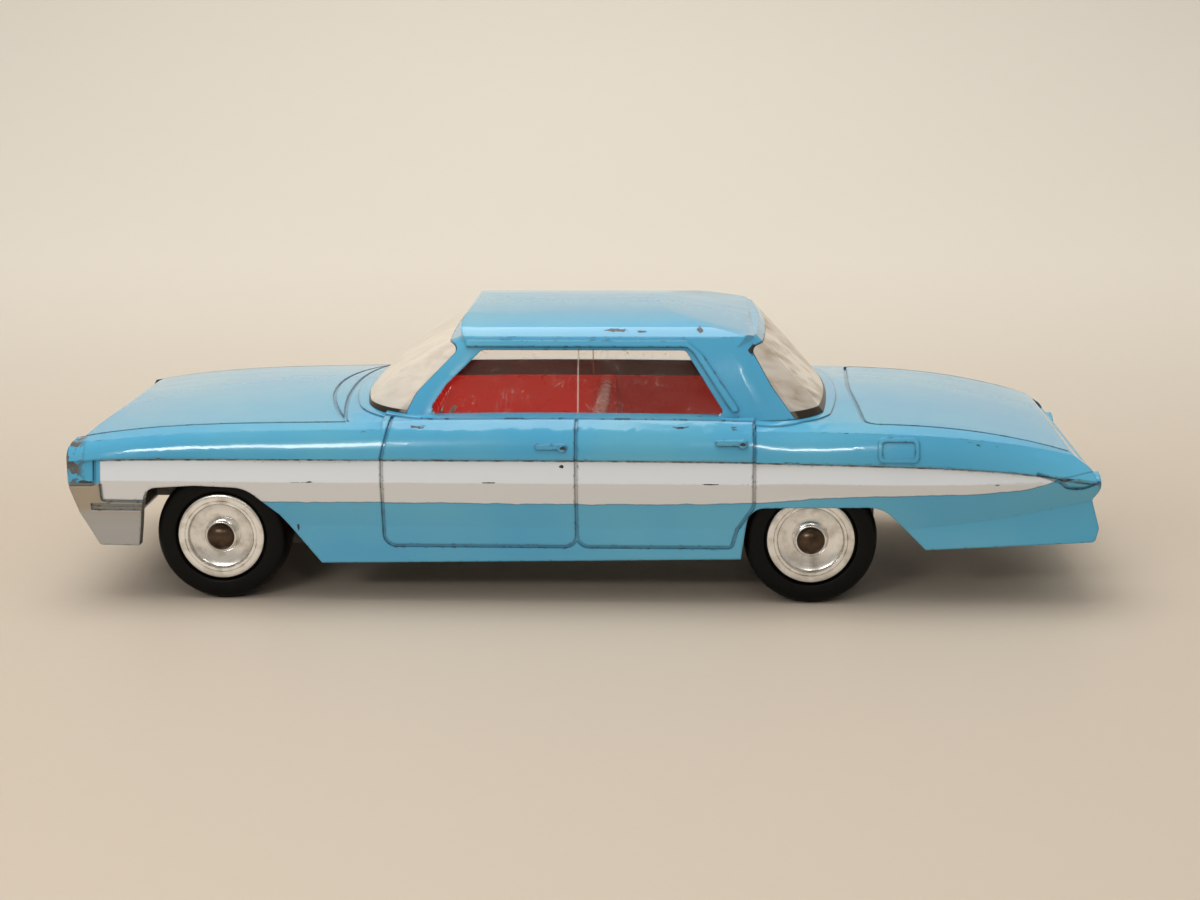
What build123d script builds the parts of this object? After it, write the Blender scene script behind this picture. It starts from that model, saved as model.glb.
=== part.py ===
from build123d import *
import os
from math import hypot

# Die-cast toy of a four-door American hardtop saloon of about 1960, at 1:50. All sizes are in millimetres.
# It stands on its four tyres on the plane z = 0, with its nose towards -X and its left side towards -Y.
# A hollow zinc body casting is closed from below by a die-cast base plate, held by two rivets. Between them
# sit a clear window moulding and a red seat moulding. Two steel axles, each pressed down by a flat spring,
# carry turned aluminium hubs with rubber tyres.

os.makedirs("parts", exist_ok=True)

# Driving dimensions
wheelbase = 62.5
front_axle_x = -38.1
rear_axle_x = front_axle_x + wheelbase
axle_z = 7.0
belt_z = 19.6
header_z = 27.9
roof_z = 29.85
wall = 1.0
groove_depth = 0.22
groove_width = 0.34
window_play = 0.06
front_shut_x = -20.45
middle_shut_x = -0.1
rear_shut_x = 18.4
door_foot_z = 6.35

# Running gear
tyre_radius = 7.0
tyre_width = 5.2
tyre_seat_radius = 4.0
wheel_face_y = 17.6
hub_radius = 4.7
axle_radius = 0.8
axle_head_radius = 1.5
running_gap = 0.05
wheel_room_radius = 7.7
wheel_room_face_y = 18.15
wheel_room_back_y = 12.0

# Base plate
base_low_z = 4.6
base_thick = 1.2
base_top_z = base_low_z + base_thick
panel_low_z = base_low_z - 0.3
panel_xs = (-22.0, 8.0)
panel_half = 8.0
floor_xs = (-26.6, 16.4)
nose_xs = (-50.3, -46.5)
tail_xs = (36.6, 50.9)
sill_half = 16.8
chassis_half = 11.4
cheek_thick = 1.3
rivet_xs = (-28.8, 42.0)
rivet_low_zs = (base_low_z, 6.4)
rivet_radius = 1.0
post_radius = 2.2
spring_span = 9.0
spring_z = axle_z + axle_radius
spring_thick = 0.3

# Cabin fittings
seat_rim_z = 18.3
tray_half = 15.2
axle_head_y = wheel_face_y + 0.1
axle_head_height = 0.7
rivet_head_radius = 2.3

grille_back_x = -52.4
headlamp_ys = (10.6, 14.7)

# Cross-sections of the lower body's three lengths, which meet at the shut lines before and behind the doors,
# for the side y > 0. Columns: station x, crown z on the centre line, then y and z of nine corners from the
# top down: gutter inside the wing top, ridge, shoulder, lip above the flash, groove under the lip, crease in
# the flash, hem below it, tuck and foot.
front_wing_sections = [
    (-57, 17.6, (15.6, 16.6), (17.0, 16.5), (18.0, 15.4), (18.4, 14.7), (18.2, 14.5),
     (18.5, 13.1), (18.2, 10.9), (17.8, 8.5), (17.4, 3.0)),
    (-50, 18.7, (16.2, 17.9), (17.8, 17.6), (18.65, 16.6), (19.0, 15.7), (18.75, 15.45),
     (19.1, 13.4), (18.75, 11.1), (18.3, 8.5), (17.8, 3.0)),
    (-38, 19.7, (16.5, 18.9), (18.0, 18.45), (18.85, 17.2), (19.15, 15.9), (18.9, 15.65),
     (19.3, 13.4), (18.9, 11.1), (18.4, 8.5), (18.1, 3.0)),
    (front_shut_x, 20.2, (16.6, 19.35), (18.1, 18.85), (18.9, 17.4), (19.2, 15.95), (18.95, 15.7),
     (19.3, 13.4), (18.9, 11.1), (18.45, 8.5), (18.2, 3.0)),
]
door_sections = [
    (front_shut_x, 20.2, (16.3, 19.75), (17.4, 19.6), (18.85, 17.6), (19.2, 15.95), (18.95, 15.7),
     (19.3, 13.4), (18.9, 11.1), (18.45, 8.5), (18.2, 3.0)),
    (0, 20.4, (16.2, 19.95), (17.3, 19.8), (18.9, 17.7), (19.2, 15.95), (18.95, 15.7),
     (19.3, 13.4), (18.9, 11.1), (18.5, 8.5), (18.2, 3.0)),
    (rear_shut_x, 20.2, (16.2, 19.75), (17.3, 19.6), (18.9, 17.6), (19.2, 15.9), (18.95, 15.65),
     (19.3, 13.4), (18.9, 11.3), (18.45, 8.5), (18.2, 3.0)),
]
rear_wing_sections = [
    (rear_shut_x, 20.2, (16.4, 19.5), (18.1, 18.8), (18.9, 17.3), (19.2, 15.6), (18.95, 15.3),
     (19.3, 13.4), (18.9, 11.5), (18.45, 8.5), (18.2, 3.0)),
    (30, 19.8, (16.3, 19.2), (18.0, 18.6), (18.8, 17.1), (19.1, 15.6), (18.85, 15.3),
     (19.2, 13.4), (18.8, 12.0), (18.1, 8.2), (18.3, 3.0)),
    (42, 18.9, (16.3, 18.25), (17.8, 17.85), (18.55, 16.3), (18.9, 15.0), (18.65, 14.75),
     (18.9, 13.5), (18.6, 12.3), (17.5, 9.2), (18.2, 3.0)),
    (50, 17.0, (15.5, 16.6), (16.7, 16.4), (17.8, 15.25), (18.5, 14.15), (18.35, 13.95),
     (18.4, 13.6), (18.2, 13.2), (17.0, 10.6), (18.0, 3.0)),
    (57, 14.7, (14.3, 14.3), (15.3, 14.15), (16.5, 13.65), (17.5, 13.0), (17.4, 12.9),
     (17.35, 12.7), (17.2, 12.5), (16.3, 12.0), (17.6, 3.0)),
]

# Plan outlines of the cabin. Columns: height z, x of the windscreen's middle, x and y of its corner, x and y
# where the straight side begins, x where it ends, x and y of the rear corner, x of the rear window's middle.
cabin_levels = [
    (belt_z, -24.6, (-23.3, 10.3), (-14.5, 16.5), 19.5, (25.9, 12.4), 27.0),
    (23.1, -21.2, (-20.2, 10.2), (-12.8, 15.6), 17.6, (23.0, 12.2), 24.0),
    (header_z, -12.8, (-12.4, 12.4), (-10.6, 13.85), 15.6, (18.6, 11.9), 19.2),
]
roof_level = (0.0, -12.9, (-12.5, 12.9), (-10.9, 14.4), 15.6, (18.5, 12.1), 19.2)

# Outlines as rounded polygons, with each corner's radius: side views in x and z, and the plan in x and y. The
# bonnet's nose and the boot's tail lie lower between the tips of the wings.
body_profile = [
    (-51.0, 6.1, 0.4), (-52.9, 9.7, 0.8), (-54.0, 13.2, 1.2), (-53.9, 16.6, 1.0), (-52.9, 18.3, 0.9),
    (-50.0, 24.0, 0), (50.0, 24.0, 0), (51.1, 16.3, 1.6), (53.2, 14.8, 1.2), (54.2, 12.6, 0.7),
    (53.5, 11.4, 0.5), (54.3, 8.4, 0.9), (53.9, 6.95, 0.5), (36.2, 6.15, 0), (17.0, 5.1, 0),
    (-27.3, 4.35, 0), (-46.9, 6.1, 0),
]
body_plan = [
    (-54.3, 0, 80), (-54.1, 18.3, 1.0), (-52.3, 20.5, 0), (52.6, 20.5, 0), (54.3, 17.6, 1.0), (54.45, 0, 80),
    (54.3, -17.6, 1.0), (52.6, -20.5, 0), (-52.3, -20.5, 0), (-54.1, -18.3, 1.0),
]
cavity_profile = [
    (-50.4, 3.0, 0), (-50.6, 15.0, 1.0), (-49.5, 24.0, 0), (49.3, 24.0, 0), (51.0, 14.0, 1.0),
    (52.3, 8.0, 0), (52.3, 3.0, 0),
]
bonnet_nose = [(-49.5, 8.0, 0), (-53.2, 8.0, 0), (-53.2, 17.5, 3.0), (-49.6, 19.3, 0), (-49.5, 19.6, 0)]
boot_tail = [
    (49.5, 8.0, 0), (53.7, 8.0, 0), (53.7, 13.6, 0.5), (51.9, 15.9, 1.6), (50.2, 17.6, 0), (49.5, 18.5, 0),
]
front_arch = [
    (-47.2, 3.0, 0), (-46.2, 10.0, 0.6), (-45.6, 12.6, 1.6), (-40.3, 12.95, 3.0), (-35.0, 12.7, 3.6),
    (-31.4, 9.6, 4.0), (-27.2, 4.3, 0), (-26.2, 3.0, 0),
]
rear_arch = [
    (17.0, 3.0, 0), (17.1, 5.3, 0.5), (17.9, 10.75, 1.9), (31.7, 10.85, 3.5), (36.3, 6.2, 0),
    (36.3, 3.0, 0),
]
side_window = [
    (-15.4, 20.0, 0.5), (-15.35, 21.0, 0.6), (-13.9, 23.1, 1.5), (-10.2, 26.6, 0.7), (11.2, 26.6, 0.6),
    (15.5, 20.0, 0.5),
]
windscreen = [
    (-30.0, 19.0, 0), (-18.7, 19.0, 0), (-17.1, 22.2, 4.0), (-12.4, 26.9, 0.5), (-14.0, 27.3, 0),
    (-30.0, 27.3, 0),
]
rear_window = [
    (32.0, 19.0, 0), (23.1, 19.0, 0), (20.2, 22.9, 6.0), (17.9, 26.9, 0.5), (20.0, 27.3, 0), (32.0, 27.3, 0),
]
drip_rail = [
    (-11.9, 27.6, 0.2), (11.3, 27.6, 0.9), (12.9, 26.3, 0.5), (17.0, 20.5, 0.3), (16.1, 20.5, 0.3),
    (12.0, 26.5, 0.3), (11.3, 27.0, 0.3), (-11.9, 27.0, 0.2),
]
roof_profile = [
    (-13.2, 27.0, 0), (-12.8, 29.5, 0.8), (-8.0, 29.95, 6.0), (7.0, 29.95, 14.0), (18.2, 28.0, 1.2),
    (19.3, 27.0, 0),
]
# Side view of the base plate's spine, which rises clear of the gaps before and behind the wheels: x and z.
plate_profile = [
    (-46.8, 9.9), (-44.2, 9.9), (-44.2, base_low_z), (31.4, base_low_z), (31.4, 9.9), (36.6, 9.9),
    (36.6, 6.4), (37.8, 6.4), (37.8, 11.1), (30.2, 11.1), (30.2, base_top_z), (-43.0, base_top_z),
    (-43.0, 11.1), (-46.8, 11.1),
]


def rounded(rows):
    """A face whose corners are rounded as the rows say."""
    points = [(a, b) for a, b, _ in rows]
    return make_face(FilletPolyline(*points, radius=[r for _, _, r in rows], close=True))


def along_x(face, low, high):
    """The face, drawn in y and z, as a solid from low to high along X."""
    return extrude(Plane.YZ.offset(low) * face, amount=high - low, dir=(1, 0, 0))


def along_y(face, low, high):
    """The face, drawn in x and z, as a solid from low to high along Y."""
    return extrude(Plane.XZ.offset(-low) * face, amount=high - low, dir=(0, 1, 0))


def along_z(face, low, high):
    """The face, drawn in x and y, as a solid from low to high along Z."""
    return extrude(Plane.XY.offset(low) * face, amount=high - low, dir=(0, 0, 1))


def block(x, y, z):
    """A box between the two ends of each pair."""
    return Pos(sum(x) / 2, sum(y) / 2, sum(z) / 2) * Box(x[1] - x[0], y[1] - y[0], z[1] - z[0])


def cap(radius, height):
    """A dome of the given rim radius and height, standing on the plane z = 0."""
    profile = Polyline((0, 0), (radius, 0), (0.75 * radius, 0.65 * height), (0, height), close=True)
    return revolve(Plane.XZ * make_face(profile), Axis.Z)


def both_sides(solid):
    """The solid and its mirror image across the centre plane."""
    return solid + mirror(solid, Plane.XZ)


def section_wire(row, inset, rounded_shoulder=True):
    """A section of the lower body as a closed wire, moved inwards by inset."""
    x, crown, *corners = row
    top = [(y - inset * 0.6, z - inset) for y, z in corners[:2]]
    shoulder = (corners[2][0] - inset, corners[2][1] - inset * 0.5)
    lower = [(y - inset, z) for y, z in corners[3:]]

    def half(sign):
        gutter, ridge = (Vector(x, sign * y, z) for y, z in top)
        bulge = Vector(x, sign * shoulder[0], shoulder[1])
        under = [Vector(x, sign * y, z) for y, z in lower]
        edges = [Edge.make_line(gutter, ridge)]
        if rounded_shoulder:
            edges.append(Edge.make_three_point_arc(ridge, bulge, under[0]))
        else:
            edges += [Edge.make_line(ridge, bulge), Edge.make_line(bulge, under[0])]
        return edges + [Edge.make_line(a, b) for a, b in zip(under, under[1:])]

    (gutter_y, gutter_z), (foot_y, foot_z) = top[0], lower[-1]
    crown_arc = Edge.make_three_point_arc(Vector(x, -gutter_y, gutter_z), Vector(x, 0, crown - inset),
                                          Vector(x, gutter_y, gutter_z))
    floor = Edge.make_line(Vector(x, foot_y, foot_z), Vector(x, -foot_y, foot_z))
    return Wire([crown_arc] + half(1) + [floor] + half(-1))


def hull(inset=0.0):
    """The solid inside the lower body's skin, moved inwards by inset."""
    lengths = [
        Solid.make_loft([section_wire(row, inset) for row in rows], ruled=False)
        for rows in (front_wing_sections, door_sections, rear_wing_sections)
    ]
    return lengths[0] + lengths[1] + lengths[2]


def cavity():
    """The hollow inside the lower body, with flat walls."""
    rows = [front_wing_sections[i] for i in (0, 2, 3)] + [rear_wing_sections[i] for i in (0, 2, 4)]
    core = Solid.make_loft([section_wire(row, wall, False) for row in rows], ruled=True)
    return core & along_y(rounded(cavity_profile), -20, 20)


def side_corner(start, end, z):
    """An arc that leaves the side at start, parallel to X, and meets a screen's corner at end."""
    (x0, y0), (x1, y1) = start, end
    radius = hypot(x1 - x0, y1 - y0) ** 2 / (2 * abs(y0 - y1))
    centre_y = y0 - radius if y0 > 0 else y0 + radius
    middle = Vector((x0 + x1) / 2 - x0, (y0 + y1) / 2 - centre_y).normalized() * radius
    return Vector(x0 + middle.X, centre_y + middle.Y, z)


def cabin_wire(level, inset, z):
    """A cabin's plan outline at height z, moved inwards by inset."""
    _, screen_x, (sx, sy), (bx, by), end_x, (rx, ry), rear_x_mid = level
    screen = (sx + 0.8 * inset, sy - 0.6 * inset)
    begin = (bx + 0.2 * inset, by - inset)
    end = (end_x - 0.2 * inset, by - inset)
    rear = (rx - 0.8 * inset, ry - 0.6 * inset)

    def flip(point):
        return (point[0], -point[1])

    def arc(a, middle, b):
        return Edge.make_three_point_arc(Vector(*a, z), middle, Vector(*b, z))

    return Wire([
        arc(flip(screen), Vector(screen_x + inset, 0, z), screen),
        arc(screen, side_corner(begin, screen, z), begin),
        Edge.make_line(Vector(*begin, z), Vector(*end, z)),
        arc(end, side_corner(end, rear, z), rear),
        arc(rear, Vector(rear_x_mid - inset, 0, z), flip(rear)),
        arc(flip(rear), side_corner(flip(end), flip(rear), z), flip(end)),
        Edge.make_line(Vector(*flip(end), z), Vector(*flip(begin), z)),
        arc(flip(begin), side_corner(flip(begin), flip(screen), z), flip(screen)),
    ])


def cabin(inset, low=None):
    """The solid inside the cabin's skin, moved inwards by inset, and carried straight down to low."""
    tower = Solid.make_loft([cabin_wire(level, inset, level[0]) for level in cabin_levels], ruled=inset > 0.5)
    if low is None:
        return tower
    return tower + along_z(Face(cabin_wire(cabin_levels[0], inset, 0)), low, belt_z)


def wheel_room():
    """The space that the four wheels turn in."""
    one = None
    for x in (front_axle_x, rear_axle_x):
        disc = Pos(x, axle_z) * Circle(wheel_room_radius)
        drum = along_y(disc, wheel_room_back_y, wheel_room_face_y)
        below = block((x - wheel_room_radius, x + wheel_room_radius),
                      (wheel_room_back_y, wheel_room_face_y), (0, axle_z))
        one = drum + below if one is None else one + drum + below
    return both_sides(one)


def window_openings():
    """Prisms through the side windows and the two wrapped screens."""
    return [along_y(rounded(rows), -20, 20) for rows in (side_window, windscreen, rear_window)]


def roof():
    """The roof panel, flush with the pillars at its sides."""
    corners = [(14.2, 27.0), (13.75, 27.95), (13.0, 28.55), (12.3, 28.85), (11.5, 29.05)]

    def half(sign):
        foot, flank, bend, shoulder, edge = (Vector(sign * y, z) for y, z in corners)
        bent = Edge.make_three_point_arc(flank, bend, shoulder)
        return [Edge.make_line(foot, flank), bent, Edge.make_line(shoulder, edge)]

    (foot_y, foot_z), (edge_y, edge_z) = corners[0], corners[-1]
    crown = Edge.make_three_point_arc(Vector(-edge_y, edge_z), Vector(0, roof_z), Vector(edge_y, edge_z))
    floor = Edge.make_line(Vector(-foot_y, foot_z), Vector(foot_y, foot_z))
    across = along_x(Face(Wire(half(1) + [crown] + half(-1) + [floor])), -15, 21)
    plan = along_z(Face(cabin_wire(roof_level, 0, 0)), 26, 31)
    return across & along_y(rounded(roof_profile), -16, 16) & plan


def engraved(path, direction):
    """A thin cutter along the path, through the skin that faces the given direction."""
    band = trace(path, groove_width)
    if direction == "side":
        return both_sides(along_y(band, 15.8, 20.0))
    return along_z(band, 14.5, 22.0)


def shut_lines():
    """The engraved lines round the doors, bonnet, boot lid, front panels and tail lamps."""
    middle, foot = middle_shut_x, door_foot_z
    front_door = FilletPolyline((-19.4, 20.4), (front_shut_x, 16.0), (front_shut_x, foot), (middle, foot),
                                (middle, 20.6), radius=[2.0, 1.3, 1.3])
    rear_door = FilletPolyline((middle, 20.6), (middle, foot), (16.1, foot), (16.7, 8.4), (rear_shut_x, 10.9),
                               (rear_shut_x, 20.2), (15.4, 20.0), radius=[1.3, 0.5, 1.5, 1.5, 0.4])
    lamp_hood = FilletPolyline((-50.9, 15.5), (-50.9, 12.95), (-55.0, 12.85), radius=[0.5])
    flash_foot = FilletPolyline((-45.6, 11.12), (-50.3, 11.12), (-50.3, 13.0), radius=[0.4])
    bumper_lines = [Line((-46.0, z), (-51.6, z)) for z in (10.62, 10.22)]
    tail_lamp = FilletPolyline((47.4, 14.5), (49.8, 13.75), (50.7, 12.95), (52.4, 12.85), (55.0, 14.0),
                               radius=[0.8, 0.7, 1.5])
    bonnet = [Line((-52.4, side * 15.9), (-24.3, side * 16.3)) for side in (-1, 1)]
    bonnet.append(ThreePointArc((-24.3, -16.3), (-28.0, 0), (-24.3, 16.3)))
    vent = ThreePointArc((-24.65, -15.5), (-26.1, 0), (-24.65, 15.5))
    boot = FilletPolyline((51.0, 15.5), (29.9, 16.1), (29.2, 0), (29.9, -16.1), (51.0, -15.5),
                          radius=[1.4, 60, 1.4])
    core = hull(groove_depth)
    sides = [front_door, rear_door, lamp_hood, flash_foot, tail_lamp] + bumper_lines
    cutters = [engraved(path, "side") - core for path in sides]
    return cutters + [engraved(path, "top") - core for path in bonnet + [vent, boot]]


def handle(x, z):
    """A door handle: a raised bar with a push button at its rear end."""
    bar = along_y(Pos(x, z) * SlotOverall(3.3, 0.5), 18.0, 19.3)
    button = along_y(Pos(x + 1.15, z - 0.1) * Circle(0.42), 18.0, 19.4)
    return both_sides(bar + button)


def raised_details():
    """What stands proud of the lower body: handles, filler flap and the rim round both screens."""
    flap = along_y(Pos(33.2, 17.0) * RectangleRounded(4.2, 2.5, 0.6), -20.0, -15.0)
    flap -= along_y(Pos(33.2, 17.0) * RectangleRounded(3.4, 1.7, 0.35), -20.0, -15.0)
    surround = along_z(Face(cabin_wire(cabin_levels[0], -0.7, 0)), 17.0, 22.0)
    proud = (flap + surround) & hull(-0.14)
    return proud + handle(-2.7, 17.25) + handle(16.0, 17.75)


def front_face():
    """Cutters and additions for the nose: the grille's recess with its bars, and four headlamps."""
    recess = along_x(Pos(0, 13.75) * RectangleRounded(34.2, 4.1, 1.9), -56.0, grille_back_x)
    centre = along_x(Pos(0, 9.0) * RectangleRounded(5.6, 2.6, 0.3), -56.0, -52.9)
    bars = [along_x(Pos(0, 12.3 + 0.72 * i) * Rectangle(17.4, 0.3), grille_back_x, grille_back_x - 0.9)
            for i in range(5)]
    bars.append(along_x(Pos(0, 13.75) * Rectangle(0.5, 4.1), grille_back_x, grille_back_x - 0.9))
    lamps = []
    for y in headlamp_ys:
        for side in (-1, 1):
            lamp = Pos(grille_back_x, side * y, 13.75) * Rot(0, -90, 0)
            lamps.append(lamp * extrude(Circle(1.95), amount=0.9))
            lamps.append(lamp * Pos(0, 0, 0.9) * cap(1.55, 0.45))
    return recess + centre, bars + lamps


def rear_face():
    """Cutters and additions for the tail: a ribbed panel between oval lamps, and the plate's recess."""
    recess = along_x(Pos(0, 13.0) * RectangleRounded(25.0, 2.0, 0.6), 53.2, 56.0)
    plate = along_x(Pos(0, 9.3) * RectangleRounded(7.0, 2.4, 0.3), 53.2, 56.0)
    ribs = [along_x(Pos(0, 12.4 + 0.6 * i) * Rectangle(24.0, 0.26), 53.2, 53.75) for i in range(3)]
    lamps = []
    for side in (-1, 1):
        oval = along_x(Pos(side * 14.9, 13.0) * Ellipse(1.9, 0.95), 53.0, 54.35)
        lamps.append(oval)
    return recess + plate, ribs + lamps


def body_casting():
    """The zinc shell: lower body, cabin pillars and roof, with its windows and wheel arches cut."""
    plan = along_z(rounded(body_plan), 0, 31)
    shell = hull() & along_y(rounded(body_profile), -20, 20) & plan
    shell -= block((-56, -49.5), (-15.9, 15.9), (16.3, 20)) - along_y(rounded(bonnet_nose), -17, 17)
    shell -= block((49.5, 56), (-15.6, 15.6), (14.4, 20)) - along_y(rounded(boot_tail), -17, 17)
    shell -= shut_lines()
    shell += raised_details()
    nose_cut, nose_parts = front_face()
    tail_cut, tail_parts = rear_face()
    shell -= nose_cut + tail_cut
    shell -= cavity() + cabin(wall, 15.0)
    shell += nose_parts + tail_parts
    for arch in (front_arch, rear_arch):
        shell -= along_y(rounded(arch), -20, 20)
    shell -= wheel_room()
    rails = both_sides(along_y(rounded(drip_rail), 13.0, 17.0)) & cabin(-0.3)
    pillars = cabin(0.0) + rails - cabin(wall, 15.0)
    pillars -= window_openings()
    headlining = along_z(Rectangle(22.0, 22.4), 26.0, 28.5)
    top = roof() - cabin(wall) - Pos(1.8, 0, 0) * headlining
    return shell + pillars + top


def with_posts(shell):
    """The casting with the two posts that take the rivets, run up into the skin above them."""
    for x, z in zip(rivet_xs, rivet_low_zs):
        post = Pos(x, 0, z + base_thick) * extrude(Circle(post_radius) - Circle(rivet_radius), amount=16)
        shell += post & hull(0.5)
    return shell


def base_plate():
    """The die-cast plate that closes the casting, with spring pads, cheeks for the axles and a bare panel."""
    spine = along_y(make_face(Polyline(*plate_profile, close=True)), -chassis_half, chassis_half)
    plate = spine + block(floor_xs, (-sill_half, sill_half), (base_low_z, base_top_z))
    plate += block(tail_xs, (-15.8, 15.8), (6.4, 7.6)) + block(nose_xs, (-15.6, 15.6), (9.9, 11.1))
    for axle_x in (front_axle_x, rear_axle_x):
        cheek = block((axle_x - 3, axle_x + 3), (chassis_half - cheek_thick, chassis_half), (base_low_z, 9.4))
        plate += both_sides(cheek)
        slot = block((axle_x - axle_radius, axle_x + axle_radius), (-12, 12), (axle_z, 9.5))
        plate -= slot + along_y(Pos(axle_x, axle_z) * Circle(axle_radius), -12, 12)
        for side in (-1, 1):
            x = axle_x + side * spring_span / 2
            plate += block((x - 1.2, x + 1.2), (-3.0, 3.0), (base_low_z, spring_z))
    for x in rivet_xs:
        plate -= Pos(x, 0, 0) * extrude(Circle(rivet_radius), amount=12)
    return plate + block(panel_xs, (-panel_half, panel_half), (panel_low_z, base_low_z))


def spring(axle_x):
    """A flat strip that lies on two pads and on the top of the axle."""
    half = spring_span / 2 + 0.3
    return block((axle_x - half, axle_x + half), (-2.4, 2.4), (spring_z, spring_z + spring_thick))


def rivet(x, z):
    """A rivet, with its head spun over under the base plate."""
    head = Pos(x, 0, z) * Rot(180, 0, 0) * cap(rivet_head_radius, 0.7)
    return head + Pos(x, 0, z) * extrude(Circle(rivet_radius), amount=6)


def axle(axle_x):
    """A steel rod with a domed head outside each hub."""
    rod = along_y(Pos(axle_x, axle_z) * Circle(axle_radius), -axle_head_y, axle_head_y)
    head = Pos(axle_x, axle_head_y, axle_z) * Rot(-90, 0, 0) * cap(axle_head_radius, axle_head_height)
    return rod + both_sides(head)


def turned(points, axle_x, side):
    """A body turned about the axle, from radius and depth inwards from the wheel's face."""
    profile = Plane.XZ * make_face(Polyline(*points, close=True))
    ring = revolve(profile, Axis.Z)
    return Pos(axle_x, side * wheel_face_y, axle_z) * Rot(90 * side, 0, 0) * ring


def hub(axle_x, side):
    """A turned aluminium hub: rim bead, dish and boss outside, and the drum that the tyre sits on."""
    bore = axle_radius + running_gap
    points = [(bore, -0.05), (1.7, -0.05), (1.75, 0.75), (3.3, 0.45), (3.5, -0.05), (4.45, 0.02),
              (hub_radius, 0.6), (tyre_seat_radius, 0.6), (tyre_seat_radius, 4.9), (bore, 4.9)]
    return turned(points, axle_x, side)


def tyre(axle_x, side):
    """A smooth rubber tyre with rounded shoulders."""
    seat, top = tyre_seat_radius, tyre_radius
    points = [(seat, 0.6), (4.8, 0.6), (5.05, -0.05), (6.3, 0.05), (top, 1.1), (top, tyre_width - 0.6),
              (seat, tyre_width)]
    return turned(points, axle_x, side)


def interior():
    """The red moulding: floor, door linings, bench seats and dashboard."""
    low, high = base_top_z, seat_rim_z
    shape = block((-22.0, 23.6), (-tray_half, tray_half), (low, high))
    shape -= block((-21.0, 24.0), (-tray_half + 0.8, tray_half - 0.8), (low + 0.8, 30))
    half = tray_half - 0.8
    front_seat = [(-6.5, low, 0), (-7.0, 10.6, 0.8), (-0.6, 10.0, 0.8), (0.9, 18.6, 0.9), (2.6, 18.4, 0.8),
                  (2.9, low, 0)]
    rear_seat = [(10.0, low, 0), (9.6, 11.2, 0.8), (17.0, 10.6, 0.8), (19.4, 18.2, 0.9), (22.0, 18.1, 0.8),
                 (24.4, low, 0)]
    dash = [(-21.6, low, 0), (-21.6, 18.2, 0.3), (-18.4, 18.0, 0.9), (-17.6, 15.6, 0.6), (-19.4, 13.6, 0),
            (-20.0, low, 0)]
    for rows in (front_seat, rear_seat, dash):
        shape += along_y(rounded(rows), -half, half)
    rear_wheels = block((16.6, 26.0), (11.8, 16.0), (0, 14.9))
    axle_tunnel = block((14.4, 26.0), (-16, 16), (0, 9.7))
    shape -= both_sides(rear_wheels) + axle_tunnel
    return shape & cabin(wall + 0.15, 0)


def steering_wheel():
    """The wheel, its spoke and its column, on the driver's side at the left."""
    rim = revolve(Plane.XZ * (Pos(2.7, 0) * RegularPolygon(0.3, 6)), Axis.Z)
    spoke = Box(5.2, 0.5, 0.4)
    column = Pos(0, 0, -1.9) * Cylinder(0.45, 4.2)
    return Pos(-15.6, -7.2, 16.6) * Rot(0, -58, 0) * (rim + spoke + column)


def glazing():
    """The clear moulding behind the pillars, flush with the skin in both screens, on the rim of the seats."""
    outer, inner = wall + window_play, wall + window_play + 0.8
    ring = (cabin(outer) - cabin(inner)) & block((-30, 32), (-20, 20), (belt_z, 26.9))
    for rows, side in ((windscreen, -1), (rear_window, 1)):
        bay = Pos(side * 0.1, 0, -0.08) * along_y(rounded(rows), -20, 20)
        ring += (cabin(window_play) - cabin(outer + 0.3)) & bay - hull(-0.2)
    flange = along_z(Face(cabin_wire(cabin_levels[0], outer, 0)), seat_rim_z, belt_z)
    return ring + flange - along_z(Face(cabin_wire(cabin_levels[0], inner, 0)), seat_rim_z - 1, belt_z)


sub_parts = {
    "body_casting": with_posts(body_casting()),
    "base_plate": base_plate(),
    "interior_tray": interior(),
    "steering_wheel": steering_wheel(),
    "glazing_unit": glazing(),
}
for i, (end, axle_x) in enumerate((("front", front_axle_x), ("rear", rear_axle_x))):
    sub_parts[f"{end}_axle"] = axle(axle_x)
    sub_parts[f"{end}_spring"] = spring(axle_x)
    sub_parts[f"{end}_rivet"] = rivet(rivet_xs[i], rivet_low_zs[i])
    for hand, side in (("left", -1), ("right", 1)):
        sub_parts[f"hub_{end}_{hand}"] = hub(axle_x, side)
        sub_parts[f"tyre_{end}_{hand}"] = tyre(axle_x, side)

for name, solid in sub_parts.items():
    export_step(solid, f"parts/{name}.step")
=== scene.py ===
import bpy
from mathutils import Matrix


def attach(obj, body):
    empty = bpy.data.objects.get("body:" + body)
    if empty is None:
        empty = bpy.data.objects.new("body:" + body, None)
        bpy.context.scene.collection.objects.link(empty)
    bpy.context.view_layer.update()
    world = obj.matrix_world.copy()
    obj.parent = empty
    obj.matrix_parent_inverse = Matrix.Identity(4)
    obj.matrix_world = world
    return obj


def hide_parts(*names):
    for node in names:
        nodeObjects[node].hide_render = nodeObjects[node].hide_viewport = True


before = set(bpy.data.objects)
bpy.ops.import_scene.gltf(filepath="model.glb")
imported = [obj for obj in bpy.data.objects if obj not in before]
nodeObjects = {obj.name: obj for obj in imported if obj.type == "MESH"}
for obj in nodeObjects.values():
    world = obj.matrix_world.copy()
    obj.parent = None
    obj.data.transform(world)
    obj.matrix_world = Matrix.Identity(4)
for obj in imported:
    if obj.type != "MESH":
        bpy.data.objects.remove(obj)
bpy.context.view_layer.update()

import math
import bmesh
import bpy
import numpy as np
from mathutils import Matrix, Vector

# A die-cast toy saloon at 1:50, about 108 mm long, which has been played with: glossy stove enamel with a white
# flash, scratched clear windows, a red seat moulding and turned aluminium wheels with smooth rubber tyres.
# +X is the tail, -Y the side that faces the camera, +Z up. The scene is in metres, the patterns in millimetres.

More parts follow.
